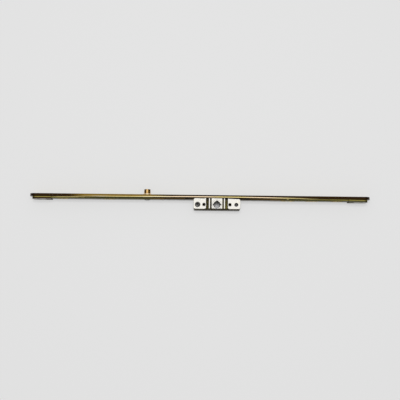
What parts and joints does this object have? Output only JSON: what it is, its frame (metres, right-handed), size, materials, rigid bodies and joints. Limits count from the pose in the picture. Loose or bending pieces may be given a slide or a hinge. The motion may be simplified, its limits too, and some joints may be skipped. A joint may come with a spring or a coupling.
{
  "type": "cremone bolt",
  "caption": "Slim concealed cremone bolt: a flat rod slides behind a screw-on faceplate, moved by a rack and pinion in a die-cast gearbox, and carries a roller cam.",
  "frame": {"origin": "on the spindle axis, midway between the two handle screws and between the gearbox's two shells", "axes": "+X along the rod, to the end furthest from the roller cam; +Y from the spindle towards the faceplate's outer face; +Z along the spindle, out of the ribbed front shell towards the handle"},
  "size_m": [0.38, 0.0227, 0.016],
  "materials": {
    "yellow_zinc_steel": "yellow-passivated zinc plating on steel strip, satin",
    "dark_steel": "dark passivated steel, oiled",
    "bright_die_cast": "bright die-cast zinc, nickel plated",
    "brass": "turned brass"
  },
  "bodies": {
    "case": {"faceplate": "yellow_zinc_steel", "gearbox_front_shell": "bright_die_cast", "gearbox_back_shell": "bright_die_cast", "shell_rivets": "bright_die_cast", "gearbox_studs": "yellow_zinc_steel", "end_guide_left": "dark_steel", "end_guide_right": "dark_steel", "end_guide_rivets": "yellow_zinc_steel", "rod_guide_rivet": "yellow_zinc_steel", "rod_guide_washer": "dark_steel"},
    "drive_rod": {"rack_slide": "dark_steel", "left_rod": "yellow_zinc_steel", "right_rod": "yellow_zinc_steel", "left_lap_rivets": "dark_steel", "right_lap_rivets": "dark_steel", "cam_pin": "brass", "cam_collar": "brass", "cam_washer": "dark_steel"},
    "pinion": {"pinion": "bright_die_cast"},
    "roller": {"cam_roller": "brass"}
  },
  "joints": [
    {"name": "pinion_turn", "type": "hinge", "parent": "case", "child": "pinion", "pos_m": [0, 0, 0], "axis": [0, 0, 1], "range_deg": [-48, 48]},
    {"name": "rod_slide", "type": "slide", "parent": "case", "child": "drive_rod", "axis": [-1, 0, 0], "range_m": [-0.00471, 0.00471]},
    {"name": "roller_spin", "type": "hinge", "parent": "drive_rod", "child": "roller", "pos_m": [-0.078, 0.01445, 0], "axis": [0, 1, 0], "continuous": true}
  ],
  "couplings": [
    {"joint": "pinion_turn", "follows": "rod_slide", "rad_per_m": 166.67}
  ]
}
